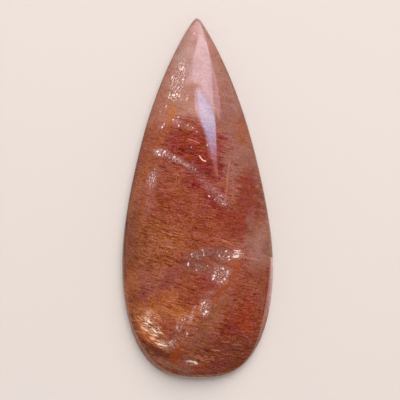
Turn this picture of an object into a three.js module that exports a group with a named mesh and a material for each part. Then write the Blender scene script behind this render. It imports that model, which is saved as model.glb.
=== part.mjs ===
// A pear-shaped cabochon cut from one piece of sunstone: a polished dome over a narrow girdle
// wall, and a flat back. Millimetres. The back lies on z = 0 with its middle at the origin,
// the point of the pear looks along +Y and the dome looks along +Z.

import * as THREE from 'three';

const LENGTH = 40;
const HALF_WIDTH = 8.25;
const GIRDLE_HEIGHT = 1.2;
const DOME_RISE = 5.2;
const BACK_BEVEL = 0.25;

// The wall leans in towards the dome. At two places on the rounded end the wheel cut it back
// further, up into the dome, which shows from above as a wider band. Turns are degrees
// clockwise from the point.
const WALL_LEAN = 0.18;
const BANDS = [
  { turn: 128, reach: 32, depth: 0.44 },
  { turn: 205, reach: 34, depth: 0.46 },
];

// Each curve rises from the point with one power, falls to the foot with another, and is
// fullest between them. One is the half width from above, one is how full the dome is.
const PEAR = { rise: 0.83, bend: 0.84, fall: 0.36 };
const FULLNESS = { rise: 1, bend: 1.8, fall: 0.8 };

// The point is blunt: rounding it off leaves it this much wider each side, over about this
// length.
const POINT_BLUNTNESS = 0.36;
const POINT_ROUNDING = 0.25;

// Grinding by hand left the flanks a little fuller and leaner by turns, as shares of the
// width and of the length.
const WAVER = 0.008;
const WAVER_START = 0.3;
const WAVER_SPAN = 0.5;

// The +X flank is leaner than the other near the point and fuller near the foot. It gains this
// share of its width for each whole length past the place where the two flanks match, which is
// this share of the length from the point.
const FLANK_GAIN = 0.05;
const FLANKS_MATCH = 0.33;

// The section across the dome is the top of an ellipse this much wider than the stone, so the
// dome meets the wall at an edge.
const ARCH_SPREAD = 1.1;

// The rings of the dome close in on the highest stretch of its crest.
const CROWN_Y = -5;
const RINGS = 22;
const STEPS_AROUND = 96;

function swell(share, { rise, bend, fall }) {
  const curve = (at) => at ** rise * (1 - at ** bend) ** fall;
  const fullest = (rise / (rise + fall * bend)) ** (1 / bend);
  return curve(share) / curve(fullest);
}

function shareFromPoint(y) {
  return THREE.MathUtils.clamp(0.5 - y / LENGTH, 0, 1);
}

// How far the edge lies from the long axis at y, on the flank where x has the sign of side.
function halfWidth(y, side) {
  const share = shareFromPoint(y);
  const waver = WAVER * Math.sin((2 * Math.PI * (share - WAVER_START)) / WAVER_SPAN);
  const gain = side > 0 ? FLANK_GAIN * (share - FLANKS_MATCH) : 0;
  const keen = HALF_WIDTH * swell(share, PEAR) * (1 - waver + gain);
  const rounded = 1 - Math.exp((-share * LENGTH) / POINT_ROUNDING);
  return Math.hypot(keen, POINT_BLUNTNESS * Math.sqrt(rounded * (1 - share)));
}

function arch(fill) {
  const springing = Math.sqrt(ARCH_SPREAD ** 2 - 1);
  return (Math.hypot(springing, Math.sqrt(fill)) - springing) / (ARCH_SPREAD - springing);
}

function domeHeight(x, y) {
  const half = halfWidth(y, x);
  const across = half > 0 ? Math.min(1, Math.abs(x) / half) : 1;
  return GIRDLE_HEIGHT + DOME_RISE * arch(swell(shareFromPoint(y), FULLNESS) * (1 - across ** 2));
}

function bandDepth(turn) {
  let depth = 0;
  for (const band of BANDS) {
    const nearness = Math.max(0, 1 - Math.abs(turn - band.turn) / band.reach);
    depth += band.depth * THREE.MathUtils.smoothstep(nearness, 0, 1);
  }
  return depth;
}

// A round button one unit in radius with the stone's heights: from the top of its dome out to
// the girdle, down the wall, round the bevel and in to the middle of its back. The rings are
// closest together at the girdle, where the dome is steepest.
function buttonProfile() {
  const profile = [];
  for (let ring = 0; ring <= RINGS; ring += 1) {
    const radius = Math.sin((ring / RINGS) * (Math.PI / 2));
    profile.push(new THREE.Vector2(radius, GIRDLE_HEIGHT + DOME_RISE * arch(1 - radius ** 2)));
  }
  profile.push(new THREE.Vector2(1, BACK_BEVEL));
  profile.push(new THREE.Vector2(1, 0));
  profile.push(new THREE.Vector2(0, 0));
  return profile;
}

function drawnIn(x, y, depth) {
  return [x * (1 - depth / HALF_WIDTH), y * (1 - depth / (LENGTH / 2))];
}

// Every ring of the button becomes a smaller copy of the pear round the crown. The dome is
// drawn in by the bands and takes its height from where each point then falls, and last by
// the lean of the wall. The back is drawn in by its bevel. The fuller flank would leave the
// middle of the width off the origin, so the pear is moved back over it.
function pearFromButton(button) {
  const position = button.attributes.position;
  for (let i = 0; i < position.count; i += 1) {
    const radius = Math.hypot(position.getX(i), position.getZ(i));
    const angle = Math.atan2(position.getX(i), position.getZ(i));
    let z = position.getY(i);
    const rimY = (LENGTH / 2) * Math.cos(angle);
    const side = Math.sign(Math.sin(angle));
    let x = radius * side * halfWidth(rimY, side);
    let y = CROWN_Y + radius * (rimY - CROWN_Y);
    if (z > BACK_BEVEL) {
      const turn = (THREE.MathUtils.radToDeg(angle) + 360) % 360;
      [x, y] = drawnIn(x, y, radius * bandDepth(turn));
      z = domeHeight(x, y);
      [x, y] = drawnIn(x, y, WALL_LEAN);
    } else {
      [x, y] = drawnIn(x, y, BACK_BEVEL - z);
    }
    position.setXYZ(i, x, y, z);
  }
  button.computeBoundingBox();
  const middle = button.boundingBox.getCenter(new THREE.Vector3());
  button.translate(-middle.x, 0, 0);
  button.computeVertexNormals();
  return button;
}

const sunstone = new THREE.MeshStandardMaterial({
  color: 0xa8604a,
  roughness: 0.12,
  metalness: 0,
});

const button = new THREE.LatheGeometry(buttonProfile(), STEPS_AROUND);
const cabochon = new THREE.Mesh(pearFromButton(button), sunstone);
cabochon.name = 'cabochon';

const stone = new THREE.Group();
stone.add(cabochon);

export default stone;
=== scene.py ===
import math

import bmesh
import bpy
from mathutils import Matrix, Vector


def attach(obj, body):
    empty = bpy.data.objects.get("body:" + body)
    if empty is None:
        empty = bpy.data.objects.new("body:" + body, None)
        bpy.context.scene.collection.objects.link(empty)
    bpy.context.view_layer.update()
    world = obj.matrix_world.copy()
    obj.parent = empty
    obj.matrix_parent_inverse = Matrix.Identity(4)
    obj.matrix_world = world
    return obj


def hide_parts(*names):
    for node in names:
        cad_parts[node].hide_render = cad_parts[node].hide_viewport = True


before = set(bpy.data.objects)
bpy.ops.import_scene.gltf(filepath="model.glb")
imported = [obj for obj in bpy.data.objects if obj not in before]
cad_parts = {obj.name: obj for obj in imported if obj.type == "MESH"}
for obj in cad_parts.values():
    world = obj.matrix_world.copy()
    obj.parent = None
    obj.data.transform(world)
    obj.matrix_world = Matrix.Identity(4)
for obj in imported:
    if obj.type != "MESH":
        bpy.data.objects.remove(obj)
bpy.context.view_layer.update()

# The stone is one piece of sunstone, cut as a pear-shaped cabochon with a domed top, a narrow
# girdle wall and a flat back. The lapidary's wheels left it smooth, so its shape here is the
# solid's own, with its facets rounded into one polished skin.
MM = 0.001
MERGE = 0.002 * MM
POLISH_LEVELS = 2
ONE_SURFACE = math.radians(25)

# The back lies below the first of these levels, and the bevel round it ends below the second.
# Faces whose normal points further down than DOWNWARDS belong to the back.
BACK_LEVEL = 0.01 * MM
BEVEL_LEVEL = 0.26 * MM
DOWNWARDS = -0.9

bpy.ops.object.select_all(action="DESELECT")
cut_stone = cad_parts["cabochon"]
stone = bpy.data.objects.new("polished_stone", cut_stone.data.copy())
bpy.context.scene.collection.objects.link(stone)
bpy.context.view_layer.objects.active = stone
stone.select_set(True)
bpy.ops.object.mode_set(mode="EDIT")
bpy.ops.mesh.select_all(action="SELECT")
bpy.ops.mesh.customdata_custom_splitnormals_clear()
bpy.ops.mesh.remove_doubles(threshold=MERGE)
bpy.ops.mesh.tris_convert_to_quads()
bpy.ops.mesh.select_all(action="DESELECT")

# The edge of the back is sharp. Polishing has just taken off the one at the top of the bevel,
# and the one where the wall meets the dome.
SHARP = 1.0
ARRIS = 0.9
skin = bmesh.from_edit_mesh(stone.data)
crease = skin.edges.layers.float.new("crease_edge")
for edge in skin.edges:
    heights = [corner.co.z for corner in edge.verts]
    level_edge = max(heights) - min(heights) < BACK_LEVEL
    walls = [face for face in edge.link_faces if min(v.co.z for v in face.verts) < BEVEL_LEVEL]
    if max(heights) < BACK_LEVEL and any(face.normal.z > DOWNWARDS for face in edge.link_faces):
        edge[crease] = SHARP
    elif level_edge and max(heights) < BEVEL_LEVEL and min(heights) > BACK_LEVEL:
        edge[crease] = ARRIS
    elif min(heights) > BEVEL_LEVEL and len(walls) == 1:
        edge[crease] = ARRIS
bmesh.update_edit_mesh(stone.data)
bpy.ops.object.mode_set(mode="OBJECT")

smoothing = stone.modifiers.new("polish", "SUBSURF")
smoothing.levels = POLISH_LEVELS
smoothing.render_levels = POLISH_LEVELS
bpy.ops.object.modifier_apply(modifier=smoothing.name)
bpy.ops.object.shade_smooth_by_angle(angle=ONE_SURFACE)

# The sunstone itself: pinkish-brown feldspar with a milky point and flanks, red and orange
# flakes that lie in thin sheets and show as fine streaks, and clusters of bright glints.
sunstone = bpy.data.materials.new("sunstone")
sunstone.use_nodes = True
tree = sunstone.node_tree
surface = tree.nodes["Principled BSDF"]


def paint(red, green, blue):
    """An sRGB colour as the linear one that a shader takes."""
    shares = [part / 255 for part in (red, green, blue)]
    return (*[s / 12.92 if s <= 0.04045 else ((s + 0.055) / 1.055) ** 2.4 for s in shares], 1)


def feed(socket, value):
    if isinstance(value, bpy.types.NodeSocket):
        tree.links.new(value, socket)
    else:
        socket.default_value = value


def work(operation, first, second=0.0, third=0.0):
    step = tree.nodes.new("ShaderNodeMath")
    step.operation = operation
    for socket, value in zip(step.inputs, (first, second, third)):
        feed(socket, value)
    return step.outputs[0]


def ramp(value, low, high, to_low=0.0, to_high=1.0):
    """Runs smoothly from to_low at low to to_high at high."""
    step = tree.nodes.new("ShaderNodeMapRange")
    step.interpolation_type = "SMOOTHSTEP"
    step.clamp = False
    for socket, part in zip(step.inputs, (value, low, high, to_low, to_high)):
        feed(socket, part)
    return step.outputs[0]


# The sockets of a mix node that take its two colours, and the one that gives the mixed colour.
UNDER = 6
OVER = 7
MIXED = 2


def blend(share, under, over):
    step = tree.nodes.new("ShaderNodeMix")
    step.data_type = "RGBA"
    feed(step.inputs[0], share)
    feed(step.inputs[UNDER], under)
    feed(step.inputs[OVER], over)
    return step.outputs[MIXED]


def laid(under, share, strength, over):
    """The colour under, with the one over laid on it by share times strength."""
    return blend(work("MULTIPLY", share, strength), under, over)


def tinted(colour, share, factors, how="MULTIPLY"):
    """The colour times the red, green and blue factors, or plus or less them, by share."""
    step = tree.nodes.new("ShaderNodeMix")
    step.data_type = "RGBA"
    step.blend_type = how
    feed(step.inputs[0], share)
    feed(step.inputs[UNDER], colour)
    step.inputs[OVER].default_value = (*factors, 1)
    return step.outputs[MIXED]


def blend_amount(share, under, over):
    """What blend does, for amounts that aren't colours."""
    step = tree.nodes.new("ShaderNodeMix")
    feed(step.inputs[0], share)
    feed(step.inputs[2], under)
    feed(step.inputs[3], over)
    return step.outputs[0]


def stretched(place, across, up, deep):
    """The place scaled, so that a pattern has that many features to a millimetre each way."""
    step = tree.nodes.new("ShaderNodeVectorMath")
    step.operation = "MULTIPLY"
    feed(step.inputs[0], place)
    step.inputs[1].default_value = (across, up, deep)
    return step.outputs[0]


def cloud(place, detail=2.0, rough=0.5, output=0):
    step = tree.nodes.new("ShaderNodeTexNoise")
    feed(step.inputs["Vector"], place)
    step.inputs["Scale"].default_value = 1.0
    step.inputs["Detail"].default_value = detail
    step.inputs["Roughness"].default_value = rough
    return step.outputs[output]


def nudged(place, field, reach_x, reach_y):
    """The place moved by a cloud's colour, up to about half of each reach either way."""
    centred = tree.nodes.new("ShaderNodeVectorMath")
    centred.operation = "SUBTRACT"
    feed(centred.inputs[0], field)
    centred.inputs[1].default_value = (0.5, 0.5, 0.5)
    moved = tree.nodes.new("ShaderNodeVectorMath")
    moved.operation = "MULTIPLY_ADD"
    feed(moved.inputs[0], centred.outputs[0])
    moved.inputs[1].default_value = (reach_x, reach_y, 0)
    feed(moved.inputs[2], place)
    return moved.outputs[0]


def spot(place, x, y, length, width, turn=0.0, edge=0.5):
    """One inside an ellipse seen from above and nought outside, its edge this soft.

    x, y, length and width are millimetres and turn is in degrees, anticlockwise.
    """
    fitted = tree.nodes.new("ShaderNodeMapping")
    fitted.vector_type = "TEXTURE"
    feed(fitted.inputs["Vector"], place)
    fitted.inputs["Location"].default_value = (x, y, 0)
    fitted.inputs["Rotation"].default_value = (0, 0, math.radians(turn))
    outer = 1 + edge
    fitted.inputs["Scale"].default_value = (length / 2 * outer, width / 2 * outer, 1000)
    inwards = tree.nodes.new("ShaderNodeTexGradient")
    inwards.gradient_type = "SPHERICAL"
    feed(inwards.inputs[0], fitted.outputs[0])
    return ramp(inwards.outputs["Fac"], 0, 2 * edge / outer)


def line(place, points, width, edge=0.5):
    """One along a line of this width through the points, in millimetres, and nought beside it."""
    share = 0.0
    for (x0, y0), (x1, y1) in zip(points, points[1:]):
        length = math.hypot(x1 - x0, y1 - y0) + width
        turn = math.degrees(math.atan2(y1 - y0, x1 - x0))
        part = spot(place, (x0 + x1) / 2, (y0 + y1) / 2, length, width, turn, edge)
        share = work("MAXIMUM", share, part) if share else part
    return share


# The flakes' sheets dip to the right, a little more steeply towards the rounded end. Along is
# measured down a sheet and across from one sheet to the next, in millimetres as all places are.
coordinates = tree.nodes.new("ShaderNodeTexCoord")
place = stretched(coordinates.outputs["Object"], 1 / MM, 1 / MM, 1 / MM)
broad = cloud(stretched(place, 0.55, 0.55, 0.55), 3, 0.6, output=1)
small = cloud(stretched(place, 2.6, 2.6, 2.6), 2, 0.5, output=1)
parts = tree.nodes.new("ShaderNodeSeparateXYZ")
feed(parts.inputs[0], nudged(place, broad, 0.3, 0.25))
x, y, z = parts.outputs
dip = work("MULTIPLY_ADD", y, -0.0056, 0.22)
across = work("MULTIPLY_ADD", x, dip, y)
along = work("MULTIPLY_ADD", y, -0.2, x)
sheets = tree.nodes.new("ShaderNodeCombineXYZ")
for socket, value in zip(sheets.inputs, (along, across, z)):
    feed(socket, value)
sheets = sheets.outputs[0]

# The zones end in ragged fingers that follow the sheets, and the veins have nearly sharp edges.
fingers = cloud(stretched(sheets, 0.7, 3.4, 0.6), 2, 0.6, output=1)
ragged = nudged(nudged(place, broad, 2.4, 2.4), fingers, 5.0, 1.2)
near_sharp = nudged(place, small, 0.35, 0.35)

pink_brown = paint(138, 76, 58)
milky_rose = paint(156, 110, 98)
milky_reflection_pink = paint(167, 131, 126)
pale_rose = paint(150, 106, 96)
faded_rose = paint(143, 97, 86)
dusty_rose = paint(134, 86, 75)
peach = paint(160, 104, 86)
copper = paint(148, 80, 56)
tawny = paint(150, 88, 70)
umber = paint(132, 74, 53)
garnet = paint(121, 47, 32)
deep_garnet = paint(113, 37, 27)
brick = paint(118, 44, 24)
ember = paint(130, 45, 6)
rust = paint(131, 65, 44)
honey = paint(138, 78, 48)
amber = paint(160, 92, 55)
plum = paint(128, 58, 46)
chestnut = paint(116, 54, 33)
zones = [
    # x, y, length, width, turn, edge, tone, streaks
    (0.4, 14.0, 15.0, 9.5, 90, 0.35, milky_rose, 0.18),
    (4.2, 6.0, 17.0, 4.6, 104, 0.40, dusty_rose, 0.22),
    (3.2, 12.8, 8.0, 1.9, 114, 0.50, faded_rose, 0.15),
    (-4.6, 12.0, 8.0, 1.5, 63, 0.50, peach, 0.20),
    (-4.2, 9.3, 4.6, 2.8, 75, 0.50, peach, 0.40),
    (-0.4, 5.6, 7.0, 5.4, -10, 0.40, garnet, 0.75),
    (1.2, 3.2, 3.6, 3.0, -30, 0.50, deep_garnet, 0.60),
    (-5.3, 6.4, 4.0, 1.7, 76, 0.50, copper, 0.70),
    (5.1, 7.2, 3.6, 1.8, 105, 0.50, honey, 0.35),
    (0.6, 0.8, 5.0, 2.6, -25, 0.50, deep_garnet, 0.85),
    (-2.2, -2.8, 11.0, 8.5, -10, 0.35, rust, 0.78),
    (-4.2, -5.0, 5.6, 4.8, 20, 0.50, honey, 1.10),
    (-5.8, -0.4, 6.4, 1.8, 84, 0.50, copper, 0.60),
    (4.4, -2.4, 4.2, 3.4, 0, 0.50, garnet, 0.60),
    (5.7, 0.6, 5.6, 3.0, 98, 0.50, brick, 0.45),
    (-3.4, -11.6, 7.0, 4.0, -15, 0.40, amber, 1.00),
    (-0.8, -10.0, 3.4, 2.6, 30, 0.50, rust, 0.90),
    (1.0, -9.2, 3.4, 2.0, 60, 0.50, plum, 0.50),
    (5.6, -9.2, 5.4, 4.0, 80, 0.50, rust, 0.70),
    (5.2, -13.4, 6.0, 2.8, 82, 0.60, ember, 0.90),
    (3.2, -16.8, 7.0, 4.0, 12, 0.45, chestnut, 0.65),
    (-4.6, -16.4, 4.0, 1.6, -38, 0.40, chestnut, 0.70),
    (-7.3, -5.0, 11.0, 1.7, 90, 0.50, umber, 0.60),
    (-7.0, -9.4, 3.4, 1.4, 95, 0.60, amber, 0.60),
    (-5.6, -9.3, 4.4, 2.6, 10, 0.60, tawny, 0.70),
    (-6.5, -11.2, 7.4, 2.1, 104, 0.50, amber, 0.60),
    (-3.1, -13.4, 2.2, 1.5, -40, 0.50, copper, 0.60),
    (1.9, -0.6, 3.0, 1.3, -50, 0.60, deep_garnet, 0.60),
    (3.4, -13.6, 3.4, 1.8, 70, 0.60, garnet, 0.70),
    (-1.5, -18.2, 6.0, 1.1, -6, 0.60, copper, 0.50),
    (-5.6, 4.4, 3.0, 1.4, 78, 0.60, copper, 0.50),
    (7.0, -10.0, 7.0, 1.2, 84, 0.50, rust, 0.40),
]
colour = pink_brown
streaks = 0.9
for zone_x, zone_y, length, width, turn, edge, tone, amount in zones:
    share = spot(ragged, zone_x, zone_y, length, width, turn, edge)
    colour = blend(share, colour, tone)
    streaks = blend_amount(share, streaks, amount)

# The point itself is milkiest, and has hardly any flakes. The pale pink laid over it is partly
# the stone's milkiness and partly a painted reflection.
point_milk_and_reflection = work(
    "MAXIMUM",
    spot(near_sharp, -1.3, 15.8, 6.0, 1.9, 72, 0.8),
    spot(near_sharp, 0.0, 18.8, 2.6, 1.8, 90, 0.8),
)
colour = laid(colour, point_milk_and_reflection, 0.85, milky_reflection_pink)
streaks = blend_amount(point_milk_and_reflection, streaks, 0.12)

# A veil of mauve cloud lies in the right flank.
billowed = nudged(place, broad, 1.6, 1.6)
veil = work(
    "MAXIMUM",
    spot(billowed, 6.7, -5.3, 4.4, 3.0, 92, 0.5),
    work("MULTIPLY", spot(billowed, 5.9, -2.8, 2.6, 1.2, 105, 0.7), 0.6),
)
colour = blend(veil, colour, dusty_rose)
streaks = blend_amount(veil, streaks, 0.2)
veil_fold = line(near_sharp, [(7.5, -3.4), (6.6, -4.6), (6.4, -5.9), (7.4, -6.5)], 1.0, 0.8)
colour = laid(colour, veil_fold, 0.4, pale_rose)

# Bands of clearer stone cross the flakes where the crystal healed.
clear_mauve = paint(128, 65, 54)
clear_brown = paint(130, 78, 56)
grey_lilac = paint(150, 100, 96)
clear_plum = paint(124, 66, 64)
pink_haze = paint(144, 92, 82)
warm_reflection = paint(158, 96, 70)
mauve_band = line(ragged, [(0.6, -6.0), (-1.8, -7.9), (-4.5, -9.8), (-6.2, -10.6)], 1.4, 0.6)
colour = laid(colour, mauve_band, 0.8, clear_mauve)
streaks = blend_amount(mauve_band, streaks, 0.6)
pale_band = line(ragged, [(2.6, -10.6), (0.8, -13.5), (-0.4, -16.8)], 1.8, 0.5)
colour = laid(colour, pale_band, 0.8, clear_brown)
streaks = blend_amount(pale_band, streaks, 0.45)
plum_head = line(near_sharp, [(-4.3, 5.0), (-3.0, 4.45), (-1.4, 3.7), (-0.8, 3.3)], 0.55, 0.6)
colour = laid(colour, plum_head, 0.7, grey_lilac)
plum_places = [(-0.9, 3.4), (0.0, 2.7), (0.8, 1.8), (1.7, 0.8), (3.0, -0.6)]
plum_band = line(near_sharp, plum_places, 1.1, 0.6)
colour = laid(colour, plum_band, 0.65, clear_plum)
left_haze = line(near_sharp, [(-4.9, 2.6), (-5.1, -0.2), (-5.5, -1.8)], 0.9, 0.7)
colour = laid(colour, left_haze, 0.5, pink_haze)
# A warm pale line and a band beside it, down the left flank, are a painted reflection.
left_reflection_line = line(near_sharp, [(-6.0, 3.0), (-6.6, -1.2)], 0.45, 0.8)
left_reflection_band = line(near_sharp, [(-6.6, 2.2), (-7.1, 0.0), (-7.4, -1.8)], 0.8, 0.7)
colour = laid(colour, work("MAXIMUM", left_reflection_line, left_reflection_band), 0.7, warm_reflection)

# Rosier and browner patches a millimetre or two across drift through every zone.
drift = cloud(stretched(sheets, 0.5, 1.1, 0.5), 3, 0.6)
colour = tinted(colour, ramp(drift, 0.50, 0.66), (0.90, 0.83, 0.78))
colour = tinted(colour, ramp(drift, 0.50, 0.36), (1.06, 1.10, 1.12))
blush = cloud(stretched(place, 0.9, 1.1, 0.9), 3, 0.6)
colour = tinted(colour, ramp(blush, 0.50, 0.64), (0.012, 0.0, 0.010), "ADD")
colour = tinted(colour, ramp(blush, 0.50, 0.38), (0.0, 0.0, 0.007), "SUBTRACT")

# Broader streaks along the sheets are golden or red.
golden = cloud(stretched(sheets, 0.9, 2.4, 0.7), 2, 0.6)
colour = tinted(colour, work("MULTIPLY", ramp(golden, 0.50, 0.62), streaks), (1.06, 1.10, 0.92))
colour = tinted(colour, work("MULTIPLY", ramp(golden, 0.50, 0.38), streaks), (1.02, 0.88, 0.90))

# Iron has stained the stone orange along its healed cracks.
iron_orange = paint(166, 100, 56)
faint_orange = paint(164, 88, 44)
orange_stain = line(near_sharp, [(-2.75, 9.9), (-2.85, 8.7)], 0.9, 0.6)
faint_stain = line(near_sharp, [(-2.9, 8.6), (-3.2, 7.6), (-3.8, 6.5), (-4.5, 5.2)], 0.7, 0.7)
left_stain = line(near_sharp, [(-5.4, 3.4), (-5.8, 2.2)], 0.7, 0.7)
colour = laid(colour, orange_stain, 0.75, iron_orange)
colour = laid(colour, work("MAXIMUM", faint_stain, left_stain), 0.48, faint_orange)


def evened(value, power):
    """The colour raised to this power."""
    step = tree.nodes.new("ShaderNodeGamma")
    feed(step.inputs["Color"], value)
    step.inputs["Gamma"].default_value = power
    return step.outputs[0]


def lighter(value, share, amount):
    return tinted(value, share, (amount, amount, amount), "ADD")


def darker(value, share, amount):
    return tinted(value, share, (amount, amount, amount), "SUBTRACT")


# Flakes seen edge on are dark strokes, and those that catch the light are pale ones. They
# are as much darker or lighter in red as in green and blue, in steps that look even.
EYE = 2.2
fibres = cloud(stretched(sheets, 1.0, 6.8, 1.0), 3, 0.65)
hairs = cloud(stretched(sheets, 1.8, 11.5, 1.6), 2, 0.6)
flaky = work("MULTIPLY_ADD", hairs, 0.5, work("MULTIPLY", fibres, 0.5))
dark_share = work("MULTIPLY", ramp(flaky, 0.50, 0.59), streaks)
pale_share = work("MULTIPLY", ramp(flaky, 0.50, 0.41), streaks)
colour = evened(colour, 1 / EYE)
colour = darker(colour, dark_share, 0.085)
colour = lighter(colour, pale_share, 0.07)

# A few of the flakes are longer and stand out from the rest.
long_flakes = cloud(stretched(sheets, 0.6, 6.0, 0.6), 1, 0.5)
colour = darker(colour, work("MULTIPLY", ramp(long_flakes, 0.64, 0.72), streaks), 0.12)
colour = lighter(colour, work("MULTIPLY", ramp(long_flakes, 0.35, 0.27), streaks), 0.10)

# Fine grains a tenth of a millimetre across mottle all of it, and the darkest are specks.
grain = cloud(stretched(place, 6.5, 6.5, 6.5), 2, 0.6)
grit = work("MULTIPLY_ADD", streaks, 0.5, 0.35)
colour = darker(colour, work("MULTIPLY", ramp(grain, 0.50, 0.64), grit), 0.085)
colour = lighter(colour, work("MULTIPLY", ramp(grain, 0.50, 0.36), grit), 0.065)
pepper = cloud(stretched(place, 3.4, 4.2, 3.4), 1, 0.5)
colour = darker(colour, ramp(pepper, 0.70, 0.76), 0.14)
colour = evened(colour, EYE)


def marked(where, marks, edge):
    """How strong the strongest mark is here, of marks of x, y, length, width, turn, strength."""
    share = 0.0
    for mark_x, mark_y, length, width, turn, strength in marks:
        part = work("MULTIPLY", spot(where, mark_x, mark_y, length, width, turn, edge), strength)
        share = work("MAXIMUM", share, part) if share else part
    return share


def leaning(where, turn, along_rate, across_rate):
    """The place turned and stretched, for strokes that lie at this many degrees."""
    turned = tree.nodes.new("ShaderNodeMapping")
    feed(turned.inputs["Vector"], where)
    turned.inputs["Rotation"].default_value = (0, 0, math.radians(-turn))
    return stretched(turned.outputs[0], along_rate, across_rate, along_rate)


# The brightest sheets of flakes near the foot face the light, and glow in long pale strokes.
glow_brown = paint(176, 96, 58)
glow_amber = paint(206, 112, 60)
glow_peach = paint(226, 160, 116)
glow_cream = paint(244, 216, 200)
bright_peach = paint(244, 170, 120)
warm_white = paint(255, 238, 222)
glow_patch = marked(ragged, [
    (-5.3, -13.7, 3.0, 2.2, -50, 1.0),
    (-4.9, -14.9, 3.2, 1.7, -38, 1.0),
    (-3.8, -15.7, 1.8, 0.8, -20, 0.8),
    (-5.0, -12.6, 2.4, 1.4, -20, 0.6),
], 0.5)
amber_patch = marked(near_sharp, [
    (-5.4, -15.0, 2.6, 1.0, -46, 1.0),
    (-6.2, -14.0, 1.6, 0.7, -66, 0.8),
], 0.6)
colour = laid(colour, glow_patch, 0.4, glow_brown)
ribbons = cloud(leaning(nudged(place, small, 0.3, 0.3), -27, 1.7, 11.0), 2, 0.6)
colour = laid(colour, amber_patch, ramp(ribbons, 0.40, 0.56, 0.3, 0.9), glow_amber)
colour = laid(colour, glow_patch, ramp(ribbons, 0.50, 0.60), glow_peach)
gap_share = work("MULTIPLY", ramp(ribbons, 0.47, 0.38), glow_patch)
colour = tinted(colour, gap_share, (0.46, 0.32, 0.26))
white_patch = marked(near_sharp, [
    (-5.4, -13.4, 1.5, 1.1, -60, 1.0),
    (-4.8, -14.3, 1.7, 0.8, -30, 1.0),
    (-3.4, -15.8, 2.0, 0.7, -14, 1.0),
    (-2.4, -15.6, 1.2, 0.8, 20, 0.8),
    (-5.2, -12.4, 1.0, 0.6, -30, 0.7),
], 0.6)
threads = cloud(leaning(nudged(place, small, 0.3, 0.3), -24, 2.2, 12.0), 1, 0.5)
colour = laid(colour, white_patch, ramp(threads, 0.52, 0.66), glow_cream)
peach_strokes = [
    (-5.89, -14.3, 0.8, 0.13, -30, 0.9), (-5.58, -14.36, 0.5, 0.1, -30, 0.8),
    (-5.17, -14.65, 0.7, 0.12, -32, 0.8), (-4.85, -15.1, 0.6, 0.11, -26, 0.8),
    (-4.52, -15.3, 0.6, 0.11, -24, 0.8), (-4.11, -15.45, 0.5, 0.11, -22, 0.8),
    (-4.96, -15.3, 0.5, 0.1, -30, 0.7), (-4.3, -15.85, 0.6, 0.11, -24, 0.8),
    (-5.94, -13.77, 0.6, 0.12, -30, 0.8), (-6.2, -13.1, 0.6, 0.12, -28, 0.8),
    (-5.5, -12.9, 0.5, 0.1, -26, 0.7), (-4.63, -13.33, 0.5, 0.1, -28, 0.7),
    (-4.08, -13.88, 0.5, 0.1, -30, 0.7), (-3.75, -14.6, 0.5, 0.1, -24, 0.7),
]
colour = blend(marked(near_sharp, peach_strokes, 0.6), colour, bright_peach)
white_strokes = [
    (-3.85, -15.85, 1.25, 0.18, -14, 1.0),
    (-5.29, -13.3, 0.40, 0.26, -30, 1.0),
    (-5.5, -13.6, 0.26, 0.14, -20, 0.8),
    (-5.1, -13.45, 0.40, 0.14, -30, 0.9),
    (-5.7, -14.2, 0.85, 0.13, -26, 0.9),
    (-4.65, -14.3, 0.66, 0.15, -34, 0.9),
    (-3.98, -14.48, 0.40, 0.12, -16, 0.7),
    (-4.65, -14.84, 0.75, 0.13, -8, 0.8),
    (-4.9, -15.2, 0.60, 0.12, -30, 0.6),
    (-4.0, -16.22, 0.50, 0.12, -20, 0.5),
    (-5.3, -12.42, 0.34, 0.10, -24, 0.6),
    (-4.55, -12.85, 0.28, 0.10, -30, 0.5),
    (-4.15, -14.08, 0.26, 0.12, -30, 0.6),
    (-2.8, -15.4, 0.5, 0.1, 40, 0.5),
    (-0.6, -17.7, 0.7, 0.2, -8, 0.9),
    (-0.2, -17.9, 0.55, 0.18, -20, 0.9),
    (-1.05, -17.65, 0.5, 0.25, 0, 0.5),
]
colour = blend(marked(near_sharp, white_strokes, 0.6), colour, warm_white)

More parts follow.
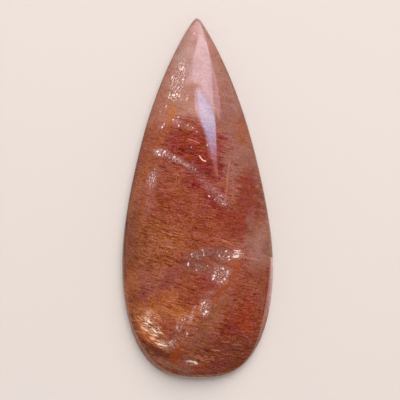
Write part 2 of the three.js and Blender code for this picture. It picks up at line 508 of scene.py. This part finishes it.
# Small healed cracks hold swarms of glints in a lilac haze, some of them over darker stone.
dark_brown = paint(98, 48, 37)
lilac_haze = paint(140, 92, 90)
sliver_pink = paint(236, 202, 196)
dust_pink = paint(232, 196, 190)
dark_ground = marked(near_sharp, [
    (0.3, -5.95, 2.9, 1.1, 14, 1.0),
    (2.2, -5.9, 2.8, 1.5, 0, 1.0),
    (0.05, -7.2, 2.8, 1.3, -6, 1.0),
    (2.3, -7.9, 2.3, 2.0, -15, 0.8),
], 0.7)
colour = laid(colour, dark_ground, 0.7, dark_brown)
swarms = marked(near_sharp, [
    (-1.8, 13.9, 2.3, 1.1, 80, 0.9),
    (-2.5, 13.0, 2.0, 0.9, 62, 0.8),
    (-2.2, 11.9, 2.0, 1.2, 55, 0.9),
    (-2.5, 11.1, 1.4, 0.9, 0, 1.0),
    (-1.4, 10.9, 1.2, 0.9, 40, 0.5),
    (-1.6, 7.9, 3.6, 0.6, -22, 0.2),
    (-3.9, 4.9, 1.5, 0.75, -6, 1.0),
    (-2.4, 4.2, 2.0, 0.6, -25, 0.7),
    (-1.1, 3.5, 1.6, 0.5, -33, 0.35),
    (-4.9, 2.1, 1.7, 0.9, 72, 0.9),
    (1.4, 1.0, 2.6, 0.7, -45, 0.22),
    (2.6, -0.2, 1.4, 1.0, -40, 0.32),
    (0.3, -5.95, 2.6, 0.9, 14, 0.32),
    (0.05, -7.3, 2.5, 0.9, -6, 0.20),
    (2.8, -6.05, 1.8, 1.0, -5, 0.42),
    (4.2, -6.0, 1.3, 0.8, 0, 0.8),
    (2.4, -8.1, 2.1, 1.7, -15, 0.55),
    (1.4, -10.1, 1.2, 0.6, 25, 0.25),
    (0.8, -11.7, 1.7, 1.0, 82, 0.7),
    (-0.6, -12.5, 2.2, 0.4, 70, 0.55),
    (-1.8, -13.4, 2.0, 0.8, 66, 0.45),
    (-1.2, -14.6, 0.9, 0.5, 60, 0.4),
    (-2.3, -15.5, 1.4, 0.8, 40, 0.5),
    (-0.8, -17.9, 1.5, 0.7, -10, 0.3),
], 0.7)
billows = cloud(stretched(place, 2.4, 2.4, 2.4), 2, 0.6)
colour = laid(colour, swarms, ramp(billows, 0.3, 0.7, 0.3, 0.7), lilac_haze)
slivers = cloud(leaning(place, 65, 4.0, 8.5), 2, 0.6)
colour = tinted(colour, work("MULTIPLY", swarms, ramp(slivers, 0.48, 0.38)), (0.66, 0.52, 0.5))
colour = laid(colour, swarms, ramp(slivers, 0.54, 0.64), sliver_pink)
colour = laid(colour, swarms, ramp(grain, 0.57, 0.64), dust_pink)

# The veins of iron stain lie over the swarms.
vein_orange = paint(146, 68, 20)
vein_head = line(near_sharp, [(4.2, -6.9), (4.1, -7.7), (3.8, -8.5)], 0.6, 0.9)
vein_places = [(3.8, -8.5), (3.25, -9.2), (2.8, -9.6), (2.3, -10.1), (2.1, -10.7)]
vein = line(near_sharp, vein_places, 0.42, 0.8)
vein_end = line(near_sharp, [(2.1, -10.7), (2.1, -11.4)], 0.26, 0.6)
low_stain = line(near_sharp, [(-1.9, -15.5), (-2.15, -16.5), (-2.6, -17.6)], 0.95, 0.45)
veins = work("MAXIMUM", work("MAXIMUM", vein_head, vein), work("MAXIMUM", vein_end, low_stain))
colour = laid(colour, veins, ramp(flaky, 0.42, 0.58, 0.6, 0.9), vein_orange)
colour = tinted(colour, work("MULTIPLY", veins, dark_share), (0.7, 0.56, 0.5))

# The largest of the glints and two scratches show one by one. The scratches are painted bright,
# as painted highlights where they catch the light.
glint_white = paint(250, 232, 230)
scratch_highlight_pink = paint(204, 120, 96)
curved_highlight_pink = paint(240, 180, 160)
faint_pink = paint(172, 116, 102)
single_glints = [
    (-0.37, 18.05, 0.15, 0.15, 0, 0.6),
    (-1.58, 14.2, 0.24, 0.14, 60, 0.9), (-1.7, 14.0, 0.22, 0.16, 0, 0.9),
    (-2.76, 13.2, 0.24, 0.13, 60, 0.9), (-1.55, 12.85, 0.24, 0.15, 0, 0.9),
    (-2.1, 11.9, 0.4, 0.1, 50, 0.7), (-2.6, 11.15, 0.34, 0.2, 0, 1.0),
    (-2.2, 11.2, 0.22, 0.18, 0, 0.9), (-3.1, 10.9, 0.2, 0.12, 50, 0.7),
    (-3.4, 9.95, 0.3, 0.12, 65, 0.6), (-1.1, 10.75, 0.2, 0.1, 50, 0.6),
    (-2.07, 8.69, 0.14, 0.13, 0, 0.8), (-2.61, 8.44, 0.16, 0.14, 0, 0.8),
    (-3.82, 7.67, 0.26, 0.15, 60, 1.0), (-3.6, 7.99, 0.2, 0.12, 60, 0.7),
    (-2.01, 7.76, 0.22, 0.13, 80, 0.9), (-1.05, 7.8, 0.14, 0.13, 0, 0.5),
    (-0.51, 7.52, 0.13, 0.12, 0, 0.5), (-0.08, 7.09, 0.14, 0.1, -40, 0.5),
    (1.04, 5.64, 0.14, 0.14, 0, 0.5), (-0.67, 5.42, 0.14, 0.12, 0, 0.4),
    (-4.29, 5.05, 0.3, 0.17, 0, 0.9), (-4.12, 4.68, 0.26, 0.18, 0, 1.0),
    (-3.5, 5.0, 0.22, 0.18, 0, 0.8), (-2.5, 4.4, 0.18, 0.14, 0, 0.6),
    (-3.0, 4.3, 0.14, 0.12, 0, 0.6), (1.24, 0.2, 0.24, 0.13, -40, 0.7),
    (2.52, 0.26, 0.14, 0.14, 0, 0.5), (2.7, -0.6, 0.14, 0.13, 0, 0.5),
    (-0.61, -5.93, 0.2, 0.14, 60, 0.6), (0.55, -5.5, 0.2, 0.13, 40, 0.6),
    (0.66, -6.03, 0.18, 0.13, 50, 0.5), (-0.98, -6.99, 0.38, 0.15, 84, 0.75),
    (-0.1, -7.62, 0.18, 0.14, 0, 0.5), (1.08, -7.15, 0.14, 0.12, 0, 0.4),
    (2.3, -6.1, 0.22, 0.13, 80, 0.6), (3.05, -5.63, 0.2, 0.13, 40, 0.8),
    (3.32, -6.22, 0.17, 0.16, 0, 0.9), (3.37, -6.54, 0.2, 0.14, 0, 0.7),
    (4.25, -5.62, 0.8, 0.12, -6, 0.6), (4.3, -5.85, 0.7, 0.1, -8, 0.4),
    (4.1, -6.22, 0.7, 0.28, 6, 0.65),
    (1.77, -8.22, 0.2, 0.18, 0, 0.9), (1.67, -8.55, 0.3, 0.17, 55, 0.9),
    (2.73, -7.5, 0.24, 0.17, -30, 0.7), (3.21, -7.87, 0.4, 0.2, 80, 0.5),
    (2.89, -8.61, 0.26, 0.14, 75, 0.8), (2.57, -8.87, 0.2, 0.16, 0, 0.7),
    (-1.89, 14.7, 0.14, 0.12, 0, 0.6), (-2.6, 10.5, 0.14, 0.12, 0, 0.5),
    (-4.06, 9.4, 0.13, 0.12, 0, 0.5), (1.83, -0.16, 0.13, 0.12, 0, 0.4),
    (2.95, -0.7, 0.14, 0.12, 0, 0.5), (-0.2, 3.07, 0.12, 0.12, 0, 0.4),
    (-1.0, 3.5, 0.12, 0.12, 0, 0.4), (-3.0, 11.2, 0.2, 0.14, 60, 0.8),
    (-1.95, 11.0, 0.22, 0.13, 50, 0.8), (0.71, -11.1, 0.2, 0.17, 0, 0.9),
    (0.45, -11.2, 0.2, 0.12, 70, 0.6),
    (0.93, -12.08, 0.26, 0.23, 0, 1.0), (0.72, -12.35, 0.24, 0.16, 0, 0.7),
    (-0.67, -12.67, 0.22, 0.1, 60, 0.5), (-1.36, -12.9, 0.15, 0.14, 0, 0.6),
    (-1.63, -13.0, 0.22, 0.12, 60, 0.5), (-2.17, -13.85, 0.3, 0.12, 80, 0.5),
    (-1.1, -14.5, 0.24, 0.15, 60, 0.6), (-0.05, -13.9, 0.14, 0.13, 0, 0.3),
]
colour = blend(marked(place, single_glints, 0.5), colour, glint_white)
scratch_highlight = line(place, [(-1.0, 6.3), (-0.45, 6.12), (0.2, 5.85)], 0.11, 0.5)
curved_scratch_highlight = line(place, [(0.22, 4.48), (0.42, 4.17), (0.62, 4.0), (0.88, 3.93)], 0.12, 0.4)
colour = laid(colour, scratch_highlight, 0.75, scratch_highlight_pink)
colour = blend(curved_scratch_highlight, colour, curved_highlight_pink)
line_places = [(3.5, 4.4), (3.3, 2.8), (3.1, 2.1), (3.15, 1.5), (2.95, -0.3)]
faint_line = line(near_sharp, line_places, 0.13, 0.9)
colour = laid(colour, faint_line, ramp(grain, 0.40, 0.60, 0.3, 0.7), faint_pink)

# Dark specks of iron ore lie here and there, most of them near the right edge, and a dark line
# runs beside the upper crack.
iron_ore = paint(70, 14, 2)
specks = marked(near_sharp, [
    (7.59, -7.7, 0.24, 0.18, 0, 0.8), (7.03, -8.91, 0.28, 0.18, -20, 1.0),
    (6.35, -9.73, 0.3, 0.16, -40, 1.0), (6.19, -10.36, 0.26, 0.2, 0, 1.0),
    (3.95, -10.91, 0.42, 0.2, -20, 1.0), (6.85, -13.18, 0.2, 0.2, 0, 0.6),
    (-5.6, -4.4, 0.16, 0.16, 0, 0.8), (-7.6, -9.5, 0.18, 0.18, 0, 0.6),
    (-1.35, 4.9, 0.8, 0.16, -18, 0.8), (-1.85, 7.27, 0.3, 0.22, -20, 0.7),
    (1.14, 2.65, 0.7, 0.5, 0, 0.5), (-1.9, 13.6, 0.16, 0.14, 0, 0.8),
    (-4.9, -16.1, 1.6, 0.3, -38, 0.5), (5.0, -8.6, 0.3, 0.2, 0, 0.6),
    (5.6, -8.1, 0.5, 0.12, -20, 0.5), (6.6, -9.3, 0.5, 0.12, -45, 0.6),
    (7.66, -5.0, 0.5, 0.3, 0, 0.3), (7.3, -5.7, 0.9, 0.24, -8, 0.25),
], 0.5)
colour = laid(colour, specks, 0.85, iron_ore)
crack_places = [(-3.9, 4.7), (-3.1, 4.3), (-2.3, 3.9), (-1.5, 3.4), (-0.9, 3.0)]
dark_edge = line(near_sharp, crack_places, 0.16, 0.6)
colour = tinted(colour, work("MULTIPLY", dark_edge, 0.7), (0.5, 0.4, 0.4))

# A few long strokes stand apart: pale ones mostly at the foot, and red ones along its edge.
pale_copper = paint(196, 128, 110)
deep_red = paint(146, 34, 12)
pale_lines = marked(near_sharp, [
    (6.1, -6.55, 1.6, 0.2, -14, 0.3), (0.2, -17.25, 1.0, 0.12, -12, 0.8),
    (2.0, -16.4, 1.1, 0.12, -8, 0.6), (3.0, -15.5, 0.9, 0.12, -8, 0.4),
    (3.3, -16.9, 1.0, 0.1, -4, 0.4), (1.2, -17.4, 1.1, 0.1, -6, 0.7),
    (4.2, -15.9, 0.8, 0.1, 0, 0.35), (1.5, -15.9, 0.8, 0.1, -10, 0.4),
    (2.6, -17.4, 0.8, 0.1, 0, 0.5), (0.5, -17.5, 0.6, 0.1, -8, 0.8),
    (0.9, -17.15, 0.5, 0.1, -12, 0.7), (1.1, -17.7, 0.5, 0.1, -2, 0.6),
    (0.1, -17.0, 0.5, 0.1, -14, 0.6), (1.6, -17.15, 0.4, 0.1, -6, 0.6),
], 0.6)
colour = blend(pale_lines, colour, pale_copper)
red_lines = marked(near_sharp, [
    (-0.1, -18.4, 1.2, 0.3, -8, 0.8), (1.0, -18.3, 1.4, 0.16, 0, 0.5),
    (3.0, -17.6, 1.2, 0.14, 10, 0.5),
], 0.6)
colour = blend(red_lines, colour, deep_red)

# Painted shade darkens the edge where the dome turns over into the wall, along both flanks and
# round the point, and the wall at the lower left is painted paler and greyer.
right_shade = line(place, [(7.8, -7.7), (7.75, -9.0), (7.55, -10.9), (7.25, -12.6)], 0.34, 0.8)
left_shade = line(place, [(-7.8, -2.2), (-7.98, -4.6), (-8.0, -7.0), (-7.88, -9.4)], 0.34, 0.9)
point_places = [(-0.7, 19.0), (-0.1, 19.72), (0.35, 19.3), (0.8, 18.4), (1.3, 17.4)]
point_shade = line(place, point_places, 0.16, 0.9)
colour = tinted(colour, work("MULTIPLY", right_shade, 0.8), (0.62, 0.42, 0.36))
colour = tinted(colour, left_shade, (0.64, 0.48, 0.42))
colour = tinted(colour, work("MULTIPLY", point_shade, 0.9), (0.50, 0.52, 0.52))
grey_rim = line(place, [(-5.6, -16.3), (-4.3, -17.6), (-2.6, -18.5), (-0.9, -18.95)], 0.7, 0.6)
colour = tinted(colour, work("MULTIPLY", grey_rim, 0.8), (1.05, 1.75, 2.1))

# Polished feldspar is as glossy as glass, and lets a little light about a millimetre in.
feed(surface.inputs["Base Color"], colour)
surface.inputs["Roughness"].default_value = 0.07
surface.inputs["IOR"].default_value = 1.54
surface.inputs["Subsurface Weight"].default_value = 0.15
surface.inputs["Subsurface Radius"].default_value = (1.0, 0.4, 0.25)
surface.inputs["Subsurface Scale"].default_value = MM

stone.data.materials.clear()
stone.data.materials.append(sunstone)
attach(stone, "root")
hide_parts("cabochon")

# The stone lies on a plain pale table with a matt top. It is two metres square, so that its
# edges are far outside the picture.
TABLE_SIZE = 2.0
bpy.ops.mesh.primitive_plane_add(size=TABLE_SIZE, location=(0, 0, 0))
table_top = bpy.context.active_object
table_top.name = "table_top"
cream = bpy.data.materials.new("cream")
cream.use_nodes = True
matt = cream.node_tree.nodes["Principled BSDF"]
matt.inputs["Base Color"].default_value = paint(200, 193, 191)
matt.inputs["Roughness"].default_value = 0.9
matt.inputs["Specular IOR Level"].default_value = 0.0
table_top.data.materials.append(cream)

# A broad soft lamp stands beyond the point of the stone and lights it from above. The polish
# doesn't show it, because the cards give the reflections their shapes.
lamp_data = bpy.data.lights.new("lamp", "AREA")
lamp_data.shape = "SQUARE"
lamp_data.size = 0.45
lamp_data.energy = 3.8
lamp_data.color = (1.0, 0.97, 0.93)
lamp = bpy.data.objects.new("lamp", lamp_data)
lamp.location = (0.08, 0.3, 0.42)
lamp.rotation_euler = Vector(lamp.location).to_track_quat("Z", "Y").to_euler()
lamp.visible_glossy = False
bpy.context.scene.collection.objects.link(lamp)


# Cards of coloured light stand round the stone. They show only as reflections in the polish,
# and light nothing else.
def card(name, corners, dim_light, full_light, fade, dim, full):
    """A flat card with these corners, its light changing from dim to full across it.

    The direction to a place on the card, measured along fade, is dim where the card gives
    dim_light and full where it gives full_light.
    """
    pane = bpy.data.meshes.new(name)
    pane.from_pydata(corners, [], [tuple(range(len(corners)))])
    glow = bpy.data.objects.new(name, pane)
    bpy.context.scene.collection.objects.link(glow)
    lit = bpy.data.materials.new(name)
    lit.use_nodes = True
    nodes = lit.node_tree.nodes
    nodes.clear()
    spread = nodes.new("ShaderNodeTexCoord")
    sight = nodes.new("ShaderNodeVectorMath")
    sight.operation = "NORMALIZE"
    measure = nodes.new("ShaderNodeVectorMath")
    measure.operation = "DOT_PRODUCT"
    measure.inputs[1].default_value = fade
    shade = nodes.new("ShaderNodeMapRange")
    shade.interpolation_type = "SMOOTHSTEP"
    shade.inputs[1].default_value = dim
    shade.inputs[2].default_value = full
    light = nodes.new("ShaderNodeMix")
    light.data_type = "RGBA"
    light.inputs[UNDER].default_value = (*dim_light, 1)
    light.inputs[OVER].default_value = (*full_light, 1)
    emission = nodes.new("ShaderNodeEmission")
    output = nodes.new("ShaderNodeOutputMaterial")
    lit.node_tree.links.new(spread.outputs["Object"], sight.inputs[0])
    lit.node_tree.links.new(sight.outputs[0], measure.inputs[0])
    lit.node_tree.links.new(measure.outputs["Value"], shade.inputs[0])
    lit.node_tree.links.new(shade.outputs[0], light.inputs[0])
    lit.node_tree.links.new(light.outputs[MIXED], emission.inputs["Color"])
    lit.node_tree.links.new(emission.outputs[0], output.inputs["Surface"])
    pane.materials.append(lit)
    glow.visible_camera = False
    glow.visible_diffuse = False
    glow.visible_shadow = False


# The corners of the cards beyond the point are given as the directions they are seen in from
# the stone. Each card stands square to this one, at its own distance.
CARD_FACING = Vector((0.1, 0.85, 0.5)).normalized()


def upright_corners(sights, distance):
    """The corners of a card at this many metres that are seen in these directions."""
    corners = [Vector(sight) for sight in sights]
    return [corner * (distance / corner.dot(CARD_FACING)) for corner in corners]


# A broad pinkish card fades to the left.
pink_sights = [
    (-0.60, 0.66, 0.45), (-0.30, 0.73, 0.61), (-0.10, 0.77, 0.63), (0.15, 0.81, 0.56),
    (0.50, 0.79, 0.35), (0.74, 0.67, 0.0), (0.755, 0.645, 0.11), (0.74, 0.62, 0.28),
    (0.69, 0.57, 0.45), (0.67, 0.53, 0.52), (0.66, 0.48, 0.57), (0.47, 0.56, 0.68),
    (0.27, 0.60, 0.75), (-0.07, 0.62, 0.78), (-0.38, 0.61, 0.69), (-0.54, 0.58, 0.61),
    (-0.69, 0.59, 0.41),
]
card(
    "pink_card", upright_corners(pink_sights, 0.36),
    dim_light=(0.0, 0.0, 0.0), full_light=(5.0, 5.0, 6.4),
    fade=(1.0, 0.0, 1.3), dim=-0.05, full=1.0,
)

# A fainter one behind it reaches lower and further to the right.
faint_sights = [
    (-0.66, 0.75, 0.0), (-0.60, 0.72, 0.36), (0.0, 0.80, 0.55), (0.60, 0.50, 0.62),
    (0.78, 0.44, 0.45), (0.80, 0.46, 0.38), (0.83, 0.48, 0.28), (0.84, 0.51, 0.21),
    (0.81, 0.57, 0.13), (0.78, 0.62, 0.08), (0.74, 0.67, 0.0), (0.0, 1.0, 0.0),
]
card(
    "faint_card", upright_corners(faint_sights, 0.40),
    dim_light=(1.0, 0.8, 0.9), full_light=(2.8, 2.2, 2.5),
    fade=(1.0, 0.0, 0.0), dim=0.1, full=0.65,
)


def hung_corners(places, level):
    """The corners of a level card: their places in millimetres, and its height in metres."""
    return [(corner_x * MM, corner_y * MM, level) for corner_x, corner_y in places]


# A bluish one hangs level, high up beyond the point, and turns a dim mauve towards the foot. A
# fainter one above it shows as its soft edge.
blue_corners = [
    (15, 217), (28, 190), (48, 172), (80, 160), (125, 149), (158, 133), (172, 117), (200, 99),
    (238, 98), (250, 118), (256, 138), (270, 160), (288, 185), (310, 215), (325, 236), (250, 236),
    (165, 226), (90, 219),
]
card(
    "blue_card", hung_corners(blue_corners, 0.3),
    dim_light=(3.6, 1.8, 1.6), full_light=(4.3, 6.7, 10.4),
    fade=(0.0, 1.0, 0.0), dim=0.28, full=0.44,
)
halo_corners = [
    (-57, 318), (-33, 273), (7.5, 252), (75, 237), (142.5, 219), (186, 195), (198, 165),
    (255, 120), (360, 117), (393, 168), (412.5, 217.5), (450, 267), (495, 322.5), (525, 364.5),
    (397.5, 372), (240, 360), (120, 342), (0, 336),
]
card(
    "halo_card", hung_corners(halo_corners, 0.45),
    dim_light=(0.8, 0.4, 0.4), full_light=(3.6, 3.9, 5.6),
    fade=(0.0, 1.0, 0.0), dim=0.3, full=0.44,
)

# A dim warm one covers the table, so that the flanks reflect little light from below.
table_corners = [(-990, -990), (990, -990), (990, 990), (-990, 990)]
card(
    "dim_card", hung_corners(table_corners, 0.01 * MM),
    dim_light=(0.12, 0.09, 0.075), full_light=(0.45, 0.33, 0.28),
    fade=(0.6, 0.8, 0.0), dim=-0.9, full=0.9,
)

# A paler one lies close round the foot of the wall, and only the wall reflects it.
foot_corners = [
    (0, 24), (4.5, 16), (8, 8), (10.5, 0), (11.3, -6), (11, -11), (9, -17), (5, -22), (0, -23.5),
    (-5, -22), (-9, -17), (-11, -11), (-11.3, -6), (-10.5, 0), (-8, 8), (-4.5, 16),
]
card(
    "foot_card", hung_corners(foot_corners, 0.015 * MM),
    dim_light=(0.2, 0.15, 0.12), full_light=(0.46, 0.33, 0.26),
    fade=(0.7, -0.7, 0.0), dim=-0.75, full=0.1,
)

# Two pale ones lie over it along the right of the rounded end. Each starts a little way under
# the stone and reaches out past its edge, and the near one is brighter.
edge_line = [(8.35, -8.6), (8.25, -10.5), (7.9, -12.0), (7.3, -13.5), (6.6, -15.0)]
UNDER_EDGE = 0.6
TOP_Y = -6.6
for name, reach, level, full_light in [
    ("pale_card", 2.2, 0.02, (0.95, 0.56, 0.48)),
    ("near_card", 0.45, 0.03, (1.35, 1.02, 1.05)),
]:
    top = [(8.3 + reach, TOP_Y), (8.2 + 0.7 * reach, TOP_Y)]
    inner = [(edge_x - UNDER_EDGE, edge_y) for edge_x, edge_y in edge_line]
    outer = [(edge_x + reach, edge_y - reach / 2) for edge_x, edge_y in reversed(edge_line)]
    card(
        name, hung_corners(top + inner + outer, level * MM),
        dim_light=(0.46, 0.33, 0.26), full_light=full_light,
        fade=(0.6, 1.0, 0.0), dim=-0.74, full=-0.42,
    )

# The room round the table is dim and warm. Its light reaches the stone and the table from all
# sides, and its reflection in the polish is fainter than that of the cards.
world = bpy.data.worlds.new("room")
bpy.context.scene.world = world
world.use_nodes = True
air = world.node_tree
direction = air.nodes.new("ShaderNodeTexCoord")
bearing = air.nodes.new("ShaderNodeSeparateXYZ")
air.links.new(direction.outputs["Generated"], bearing.inputs[0])


def fading(value, low, high, at_low, at_high):
    """Runs evenly from at_low at low to at_high at high."""
    step = air.nodes.new("ShaderNodeMapRange")
    air.links.new(value, step.inputs[0])
    for socket, part in zip(list(step.inputs)[1:5], (low, high, at_low, at_high)):
        socket.default_value = part
    return step.outputs[0]


# What the polish reflects of the room is palest low down on the side of the lamp.
upwards = fading(bearing.outputs["Z"], 0.0, 0.9, 0.42, 0.2)
towards = air.nodes.new("ShaderNodeVectorMath")
towards.operation = "DOT_PRODUCT"
towards.inputs[1].default_value = (0.6, 0.8, 0.0)
air.links.new(direction.outputs["Generated"], towards.inputs[0])
lampwards = fading(towards.outputs["Value"], -0.9, 0.9, 0.25, 1.2)
room_light = air.nodes.new("ShaderNodeMath")
room_light.operation = "MULTIPLY"
air.links.new(upwards, room_light.inputs[0])
air.links.new(lampwards, room_light.inputs[1])
room = air.nodes["Background"]
room.inputs["Color"].default_value = (1.0, 0.90, 0.82, 1)
air.links.new(room_light.outputs[0], room.inputs["Strength"])

# It lights the stone and the table evenly, and its far wall is plain.
even_light = air.nodes.new("ShaderNodeBackground")
even_light.inputs["Color"].default_value = (1.0, 0.95, 0.90, 1)
even_light.inputs["Strength"].default_value = 0.55
far_wall = air.nodes.new("ShaderNodeBackground")
far_wall.inputs["Color"].default_value = paint(228, 220, 213)
seen = air.nodes.new("ShaderNodeLightPath")
shone = air.nodes.new("ShaderNodeMixShader")
air.links.new(seen.outputs["Is Diffuse Ray"], shone.inputs[0])
air.links.new(room.outputs[0], shone.inputs[1])
air.links.new(even_light.outputs[0], shone.inputs[2])
either = air.nodes.new("ShaderNodeMixShader")
air.links.new(seen.outputs["Is Camera Ray"], either.inputs[0])
air.links.new(shone.outputs[0], either.inputs[1])
air.links.new(far_wall.outputs[0], either.inputs[2])
air.links.new(either.outputs[0], air.nodes["World Output"].inputs["Surface"])

# The camera looks straight down, with the point of the stone at the top of the picture. It
# hangs a touch to the right of the stone's middle and below it.
CAMERA_PLACE = (0.27 * MM, -0.20 * MM, 123.8 * MM)
camera_data = bpy.data.cameras.new("camera")
camera_data.lens = 100
camera_data.clip_start = 5 * MM
camera = bpy.data.objects.new("camera", camera_data)
camera.location = CAMERA_PLACE
bpy.context.scene.collection.objects.link(camera)
bpy.context.scene.camera = camera
bpy.context.scene.view_settings.view_transform = "Standard"
